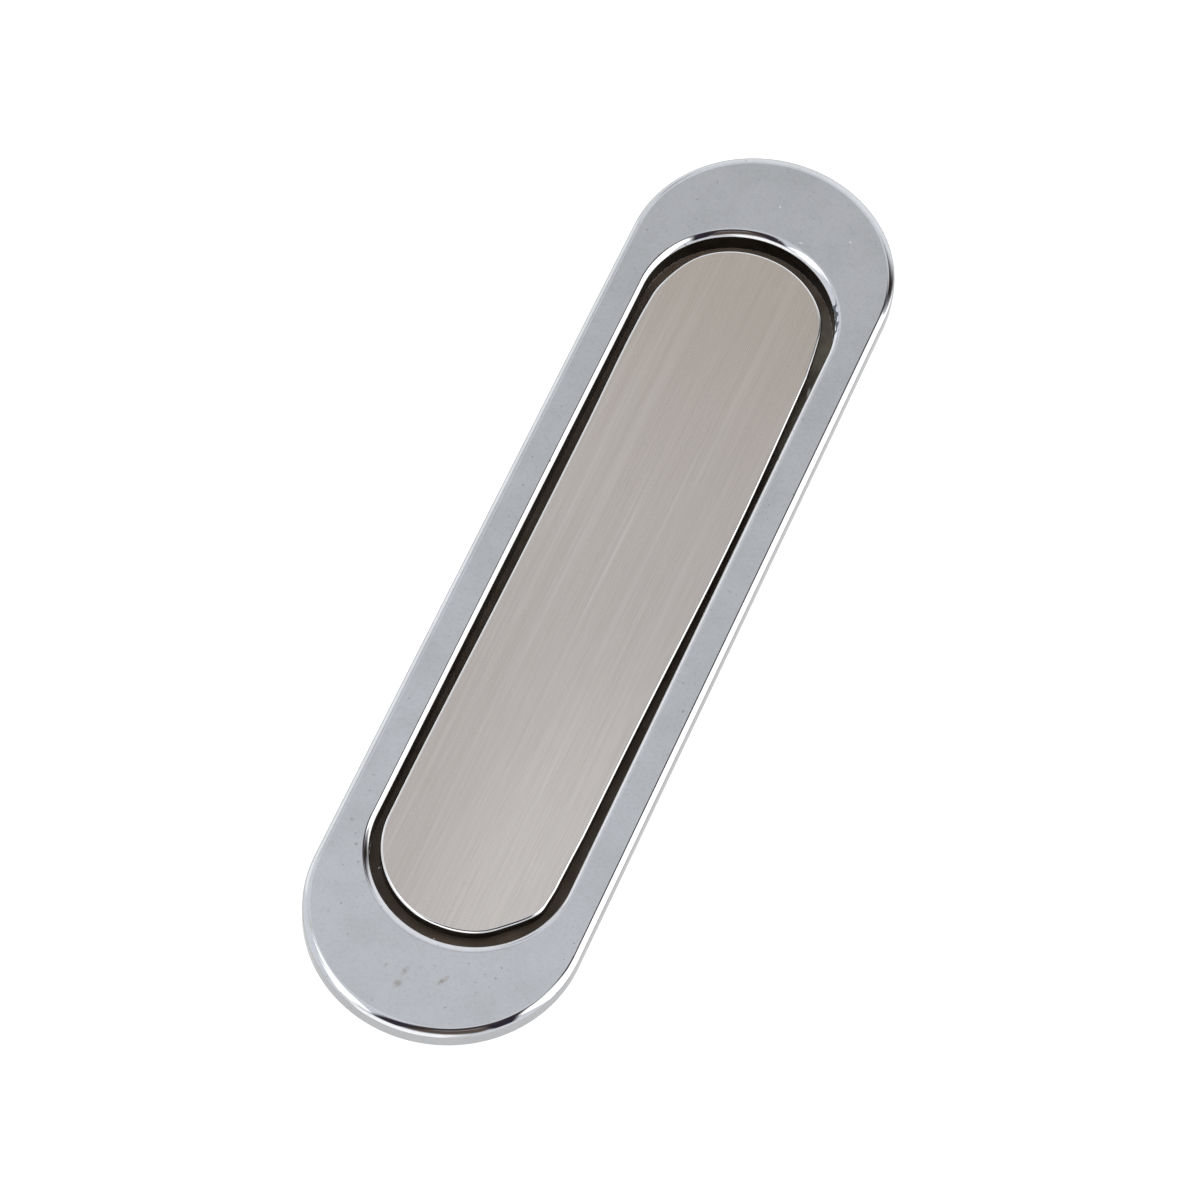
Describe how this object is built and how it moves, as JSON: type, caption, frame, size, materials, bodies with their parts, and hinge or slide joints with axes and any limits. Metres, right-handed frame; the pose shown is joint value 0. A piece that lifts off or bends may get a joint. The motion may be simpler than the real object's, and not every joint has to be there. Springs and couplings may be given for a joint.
{
  "type": "recessed pull handle",
  "caption": "Oval flush pull for a sliding door: chromed ring round a brushed plate that sinks on springs when pressed, in a cup set into the door.",
  "frame": {"origin": "centre of the pull on the plane where the ring's back lies on the door's face", "axes": "+Z out of the door towards the user, Y along the pull's long axis, X across it"},
  "size_m": [0.04, 0.155, 0.0201],
  "materials": {
    "chrome_ring": "polished chrome plate on a zinc casting",
    "brushed_plate": "satin nickel, brushed along its length, polished round edge",
    "carrier_plastic": "dark brown moulded plastic",
    "cup_plastic": "black moulded plastic, fine spark texture",
    "post_steel": "bright drawn steel",
    "bush_plastic": "natural acetal",
    "spring_steel": "drawn spring wire",
    "buffer_rubber": "soft black rubber",
    "screw_steel": "zinc-plated steel"
  },
  "bodies": {
    "housing": {"face_ring": "chrome_ring", "recess_cup": "cup_plastic", "bolt_post_upper": "post_steel", "bolt_post_lower": "post_steel", "guide_post_upper": "post_steel", "guide_post_lower": "post_steel", "buffer_ring_upper": "buffer_rubber", "buffer_ring_lower": "buffer_rubber", "return_spring_upper": "spring_steel", "return_spring_lower": "spring_steel", "cup_screw_1": "screw_steel", "cup_screw_2": "screw_steel", "cup_screw_3": "screw_steel", "cup_screw_4": "screw_steel"},
    "plunger": {"press_plate": "brushed_plate", "plate_carrier": "carrier_plastic", "guide_bush_upper": "bush_plastic", "guide_bush_lower": "bush_plastic", "plate_screw_1": "screw_steel", "plate_screw_2": "screw_steel", "plate_screw_3": "screw_steel", "plate_screw_4": "screw_steel"}
  },
  "joints": [
    {"name": "plate_press", "type": "slide", "parent": "housing", "child": "plunger", "axis": [0, 0, 1], "range_m": [-0.0055, 0], "stiffness_N_per_m": 900, "springref_m": 0.002, "deforming": ["return_spring_upper", "return_spring_lower"]}
  ]
}
